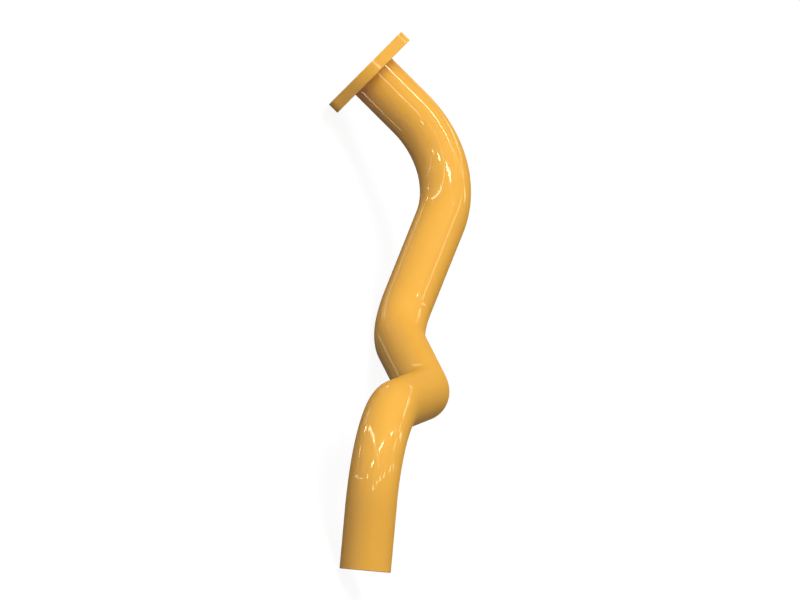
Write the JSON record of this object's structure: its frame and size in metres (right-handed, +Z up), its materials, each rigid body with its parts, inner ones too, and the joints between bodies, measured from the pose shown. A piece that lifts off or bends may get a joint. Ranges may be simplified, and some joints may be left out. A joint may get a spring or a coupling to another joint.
{
  "type": "bent tube assembly",
  "caption": "Painted steel line bent in space, with a bolted face flange at one end and a plain hose end at the other.",
  "frame": {"origin": "centre of the flange's sealing face, on the axis of the tube's first run", "axes": "+Z up with the assembly lying as it comes to rest, +X along its greatest length, from the flange to the free end"},
  "size_m": [0.7891, 0.1852, 0.1123],
  "materials": {
    "tube_paint": "gloss",
    "flange_paint": "gloss"
  },
  "bodies": {
    "root": {"bent_tube": "tube_paint", "flange": "flange_paint"}
  },
  "joints": []
}
